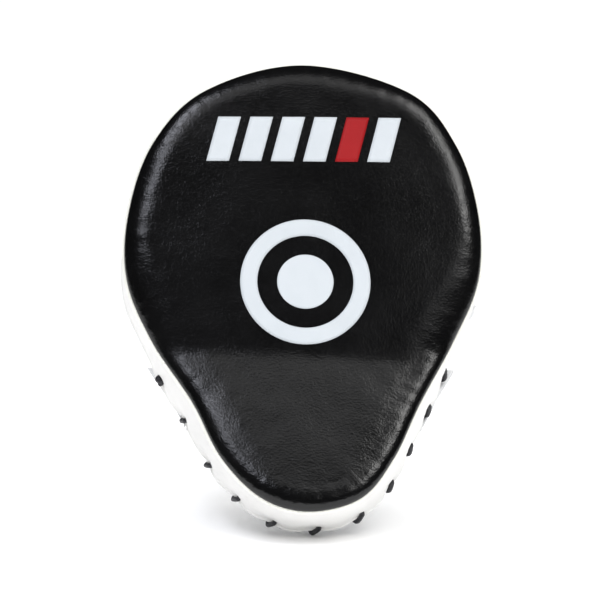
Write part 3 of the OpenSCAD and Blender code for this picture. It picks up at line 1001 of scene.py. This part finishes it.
def foot_slab(side, width):
    """A sewn foot of the cover, flat on the panel."""
    inner = COVER_HALF + COVER_PAD / 2
    rows = []
    for f in (0, 0.1, 0.3, 0.5, 0.7, 0.9, 1):
        x = side * (inner + (COVER_PAD / 2 + SKIN + width) * f)
        lift = 1.5 if f < 1 else 0.9
        row = []
        for u in (0, 0.02, 0.25, 0.5, 0.75, 0.98, 1):
            row.append(on_cover(x, lift if 0 < u < 1 else lift * 0.6, 0.3 + (COVER_W - 0.6) * u))
        rows.append(row + [on_cover(x, 0.1, z) for z in (COVER_W - 0.4, COVER_W / 2, 0.4)])
    return loft(rows, capped=True)


feet = [(-1, 8), (1, 3)]  # side and width
piece("knuckle_cover_binding", merged([binding_shape(z) for z in (1.2, COVER_W - 1.2)]), STRAP,
      "cover_leather")
piece("knuckle_cover_feet", merged([foot_slab(side, width) for side, width in feet]), WHITE, "cover_leather")


def cover_threads():
    """A seam inside each rim's binding, and one down each foot."""
    line = tunnel_line(COVER_PAD + SKIN + 0.1, 120)[4:-4]
    shapes = []
    for z in (3.4, COVER_W - 3.4):
        shapes.append(seam(lambda p, lift: on_cover(p[0] + p[2] * lift, p[1] + p[3] * lift, z), line))
    for side, width in feet:
        x = side * (COVER_HALF + COVER_PAD + SKIN + width * 0.55)
        shapes.append(seam(lambda k, lift: on_cover(x, 1.55 + lift, COVER_W * k / 30), range(1, 30)))
    return merged(shapes)


piece("knuckle_cover_stitches", cover_threads(), THREAD, "cover_leather")

# ---- wrist strap
STRAP_HALF, STRAP_RISE, STRAP_T, PATCH_T, GAP = 52, 44, 2, 1, 0.4
ARCH_R = (STRAP_HALF ** 2 + STRAP_RISE ** 2) / (2 * STRAP_RISE)
ARCH_Y = STRAP_RISE - ARCH_R  # height of the arch's centre
OUTER_R = ARCH_R + STRAP_T + 2 * PATCH_T + GAP  # inside radius of the opening strap
FOOT_Y = STRAP_T / 2 + 0.05  # height of the middle of a flat foot
STRAP_LOW, STRAP_W = -34, 40
STRAP_MID = STRAP_LOW + STRAP_W / 2
HINGE, TIP, ANCHOR_TIP = -66, 46, 12  # degrees round the arch
STRAP_SEAM = 3.6      # distance of its two seams from its long edges
REACH = {-1: 4.6, 1: 6.8}  # how far each sewn end stands out past the outline
FOOT_LIFT = 3.0       # how far a sewn end rises over a stitch of the lace


def foot_edge(side, z):
    """Where a sewn end stops at height z along the heel half: x, and the distance s along the edge."""
    height = ARC_END_Z + z * cos(BEND)
    indices = range(ROUND // 2) if side > 0 else range(ROUND // 2, ROUND)
    k = min((i for i in indices if EDGE[i].y < 200), key=lambda i: abs(EDGE[i].y - height))
    return (EDGE[k] + NORMALS[k] * REACH[side]).x, edge_distance(k)


def strap_section():
    """(across, height) round a strap: rounded edges and a sewn groove near each."""
    half, t = STRAP_W / 2, STRAP_T / 2
    across = [a - half for a in (0.8, 2, 3, 3.6, 4.2, 5.2, 7, 9, 11, 13, 15, 17.5, 20)]
    across += [-a for a in reversed(across[:-1])]
    groove = lambda a: 0.28 * bell(abs(a) - (half - STRAP_SEAM), 0.7)
    top = [(a, t - groove(a)) for a in across]
    under = [(a, -t + 0.5 * groove(a)) for a in reversed(across)]
    right_edge = [(half - 0.2, t * 0.6), (half, 0), (half - 0.2, -t * 0.6)]
    return top + right_edge + under + [(-a, -b) for a, b in right_edge]


SECTION = strap_section()


def strap_line(side, radius, tip):
    """Middle line of a strap in the heel frame, from its flat foot over the arch to its tip, as (x, y)."""
    base = degrees(acos(-ARCH_Y / radius)) * side
    foot_x = radius * sin(radians(base))
    start = base - side * 7
    line = [Vector((foot_x + side * k, FOOT_Y)) for k in (9, 7, 5, 3.4)]
    line.append(Vector((foot_x + side * 1.2, STRAP_T / 2 + 1.2)))
    count = max(8, int(abs(start - tip) / 2.5))
    for k in range(count + 1):
        a = radians(start + (tip - start) * k / count)
        line.append(Vector((radius * sin(a), ARCH_Y + radius * cos(a))))
    return curve(line, False, 2)


def outward_along(side, line):
    """The points of a strap's middle line, each with the direction out of the arch."""
    n = len(line)
    for k, p in enumerate(line):
        along = (line[min(k + 1, n - 1)] - line[max(k - 1, 0)]).normalized()
        yield p, Vector((-along.y, along.x)) * -side


def strap_foot(side, start_x, steps=16):
    """The rows of a strap's foot, from the pad's edge to where the bend starts."""
    rows = []
    for k in range(steps):
        row = []
        for a, b in SECTION:
            far, s = foot_edge(side, STRAP_MID + a)
            x = far + (start_x - far) * k / steps
            thick = b if k else b * 0.45
            lift = FOOT_LIFT * pulled(s, 5.0) * ease(1.9 - abs(x - far) / 9)
            row.append(on_heel(x, FOOT_Y + thick + lift, STRAP_MID + a))
        rows.append(row)
    return rows


def strap_shape(side, radius, tip):
    """A leather strap: a foot sewn to the panel, a bend, and an arch, with a rounded tip."""
    line = strap_line(side, radius, tip)
    rows = strap_foot(side, line[0].x)
    n = len(line)
    for k, (p, normal) in enumerate(outward_along(side, line)):
        left = (n - 1 - k) / 4
        shrink = 1 if left > 1 else 0.93 + 0.07 * sqrt(max(0, 1 - (1 - left) ** 2))
        row = []
        for a, b in SECTION:
            thick = b * (1 if k < n - 1 else 0.5)
            q = p + normal * (thick + 0.18 * ripple(p.x / 9, p.y / 9, a / 9 + side))
            row.append(on_heel(q.x, q.y, STRAP_MID + a * shrink))
        rows.append(row)
    return loft(rows, capped=True)


def strap_threads(side, radius, tip):
    """A seam along each long edge, and two across the foot."""
    line = strap_line(side, radius, tip)
    middle = [(p + out * (STRAP_T / 2 - 0.2), out) for p, out in list(outward_along(side, line))[1:-1]]
    shapes = []
    for z in (STRAP_LOW + STRAP_SEAM, STRAP_LOW + STRAP_W - STRAP_SEAM):
        shapes.append(seam(lambda at, lift: on_heel(*(at[0] + at[1] * lift), z), middle))
    for inset in (0, 3):
        x = line[2].x + side * inset
        shapes.append(seam(lambda k, lift: on_heel(x, STRAP_T + 0.05 + lift, STRAP_LOW + k), range(3, 38)))
    return merged(shapes)


def on_arch(radius, angle, z):
    """A point of the arch, in degrees from its crown."""
    a = radians(angle)
    return on_heel(radius * sin(a), ARCH_Y + radius * cos(a), z)


hinge_start, hinge_end = (on_arch(OUTER_R + 1, HINGE + turn, STRAP_LOW) for turn in (-6, 6))
for name, side, radius, tip, body, replaced in (
        ("opening_strap", -1, OUTER_R + 1, TIP, None, ["strap_root", "wrist_strap"]),
        ("fixed_strap", 1, ARCH_R + 1, ANCHOR_TIP, "mitt", ["anchor_strap"])):
    strap = piece(name, strap_shape(side, radius, tip), STRAP, "strap_leather", body, replaced)
    stitches = piece(name + "_stitches", strap_threads(side, radius, tip), THREAD, "strap_leather", body)
    if body is None:  # it rides on no body; its transform is baked into its points
        for made in (strap, stitches):
            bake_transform(made)


def patch_shape(radius, start, end, low, width, nap):
    """A patch of hook or loop tape that lies on the arch, its face roughened by nap in millimetres."""
    count, across = int((end - start) * 1.6), int(width)

    def pair(k, j):
        soft = 0.4 if k in (0, count) or j in (0, across) else 1
        half_t = (PATCH_T - 0.1) / 2 * soft
        rough = nap * ripple(k * 0.9, j * 0.9, radius) * soft
        return [on_arch(radius + t, start + (end - start) * k / count, low + width * j / across)
                for t in (half_t + max(0, rough), -half_t + min(0, rough))]
    return slab_of(count + 1, across + 1, pair)


loops = patch_shape(ARCH_R + STRAP_T + PATCH_T / 2, ANCHOR_TIP + 2, TIP + 6, STRAP_LOW + 3, STRAP_W - 6, 0.15)
piece("loop_tape", loops, LOOPS, "loop_pile", replaces=["loop_patch"])
hooks = patch_shape(OUTER_R - PATCH_T / 2, ANCHOR_TIP + 6, TIP - 2, STRAP_LOW + 4, STRAP_W - 8, 0.12)
piece("hook_tape", hooks, HOOKS, "hook_tape", body="wrist_strap", replaces=["hook_patch"])

# ---- pull tab
TAB_LENGTH, TAB_W = 16, 30


def tab_point(along, across, height):
    """A point of the tab: along it from the strap's tip, tangent to the arch."""
    a = radians(TIP)
    x = OUTER_R * sin(a) + along * cos(a) + height * sin(a)
    y = ARCH_Y + OUTER_R * cos(a) - along * sin(a) + height * cos(a)
    return on_heel(x, y, STRAP_MID + across)


def tab_shape():
    """A folded loop of webbing with woven ribs."""
    rows = []
    steps, ribs = 32, 30
    for k in range(steps + 1):
        f = k / steps
        along = -3 + (TAB_LENGTH + 3) * sin(f * pi / 2) if f < 1 else TAB_LENGTH
        thick = 0.95 * sqrt(max(0.04, 1 - (max(0, along - TAB_LENGTH + 1.2) / 1.25) ** 2))
        top, under = [], []
        for j in range(ribs + 1):
            u = 2 * j / ribs - 1
            rib = 0.12 * cos(j * pi) * cos(along * 2.4)
            edge = 1 if abs(u) < 1 else 0.5
            top.append(tab_point(along, u * TAB_W / 2, 1 + (thick + rib) * edge))
            under.append(tab_point(along, u * TAB_W / 2, 1 - (thick + rib) * edge))
        rows.append(top + under[::-1])
    return loft(rows, capped=True)


def tab_threads():
    """A box of stitches with a cross in it."""
    turns_at = [(0.5, -11), (0.5, 11), (6, 11), (6, -11), (0.5, -11), (6, 11), (6, -11), (0.5, 11)]
    steps = [k / 20 for k in range(21)]
    shapes = []
    for (a, b), (c, d) in zip(turns_at, turns_at[1:]):
        shapes.append(seam(lambda t, lift: tab_point(a + (c - a) * t, b + (d - b) * t, 2.0 + lift),
                           steps, 2.6, 1.9, 0.28))
    return merged(shapes)


piece("webbing_tab", tab_shape(), WEBBING, "tab_webbing", body="wrist_strap", replaces=["pull_tab"])
piece("webbing_tab_stitches", tab_threads(), THREAD, "tab_webbing", body="wrist_strap")

# ---- floor, light and camera
FLOOR_R, FLOOR_SIDES = 14, 96
FLOOR_Z = min(v.co.z for name in ("rear_panel", "lace_cord") for v in bpy.data.objects[name].data.vertices)
rings = [[(FLOOR_R * r * cos(a), FLOOR_R * r * sin(a), FLOOR_Z) for a in turns(FLOOR_SIDES)]
         for r in (0.02, 0.1, 0.3, 1.0)]
points, faces = loft(rings)
floor_mesh = bpy.data.meshes.new("studio_floor")
floor_mesh.from_pydata(points, [], faces + [tuple(range(FLOOR_SIDES))])
floor_mesh.materials.append(new_material("floor_paint", 0.9, (0.96, 0.96, 0.96), 0.1)[0])
put("studio_floor", floor_mesh)

world = bpy.data.worlds.new("studio")
scene.world = world
world.use_nodes = True
world.node_tree.nodes["Background"].inputs["Color"].default_value = (1, 1, 1, 1)
world.node_tree.nodes["Background"].inputs["Strength"].default_value = 0.02
scene.view_settings.view_transform = "Standard"
target = place(0, 22, 135)


def direction(azimuth, elevation):
    """Unit vector towards a lamp: azimuth 0 is in front of the face, positive to the right."""
    a, e = radians(azimuth), radians(elevation)
    return Vector((sin(a) * cos(e), -cos(a) * cos(e), sin(e)))


def facing(made, away):
    """Turns a lamp or a camera to look against the direction away."""
    made.rotation_mode = "QUATERNION"
    made.rotation_quaternion = (-away).to_track_quat("-Z", "Y")
    return made


def softbox(name, azimuth, elevation, width, height, power, colour, distance=1.8):
    data = bpy.data.lights.new(name, "AREA")
    data.shape = "RECTANGLE"
    data.size, data.size_y, data.energy, data.color = width, height, power, colour
    aim = direction(azimuth, elevation)
    lamp = facing(put(name, data), aim)
    lamp.location = target + aim * distance
    return lamp


def diffuser(name, azimuth, elevation, strength, spread=120):
    """Even light from a broad part of the room. It is left out of reflections."""
    data = bpy.data.lights.new(name, "SUN")
    data.energy, data.angle = strength, radians(spread)
    facing(put(name, data), direction(azimuth, elevation)).visible_glossy = False


COOL, WARM, NEUTRAL = (0.88, 0.90, 1.0), (1.0, 0.995, 0.98), (1.0, 1.0, 1.0)
softbox("high_left", -60, 63, 0.5, 0.42, 6.0, COOL)
softbox("high_right", 58, 60, 0.5, 0.5, 4.2, WARM)
softbox("low_left", -34, 49, 0.42, 0.26, 3.3, COOL)
softbox("low_right", 49, 45, 0.46, 0.36, 5.0, WARM)
softbox("right_glow", 36, 37, 1.0, 0.25, 0.95, NEUTRAL)
softbox("top_bank", 0, 67, 1.3, 0.60, 2.6, NEUTRAL)
bounce = softbox("bounce_card", 0, -9, 0.6, 0.05, 0.9, NEUTRAL, distance=0.6)
bounce.visible_glossy = bounce.visible_camera = False
diffuser("ceiling", 10, 82, 1.8)
diffuser("back_wash", 180, 48, 1.85)
diffuser("front_fill", 0, 0, 1.5)

CAMERA_AZIMUTH, CAMERA_ELEVATION, CAMERA_DISTANCE, CAMERA_LENS, CAMERA_ROLL = -3, 8, 2.0, 210, 0.8
CAMERA_SHIFT = Vector((-0.00183, -0.00217, 0))  # in the picture's plane
camera_data = bpy.data.cameras.new("camera")
camera_data.lens, camera_data.sensor_width, camera_data.clip_end = CAMERA_LENS, 36, 100
back = direction(CAMERA_AZIMUTH, CAMERA_ELEVATION)
camera = facing(put("camera", camera_data), back)
look = camera.rotation_quaternion.copy()
camera.location = target + look @ CAMERA_SHIFT + back * CAMERA_DISTANCE
camera.rotation_quaternion = look @ Quaternion((0, 0, 1), radians(CAMERA_ROLL))
scene.camera = camera
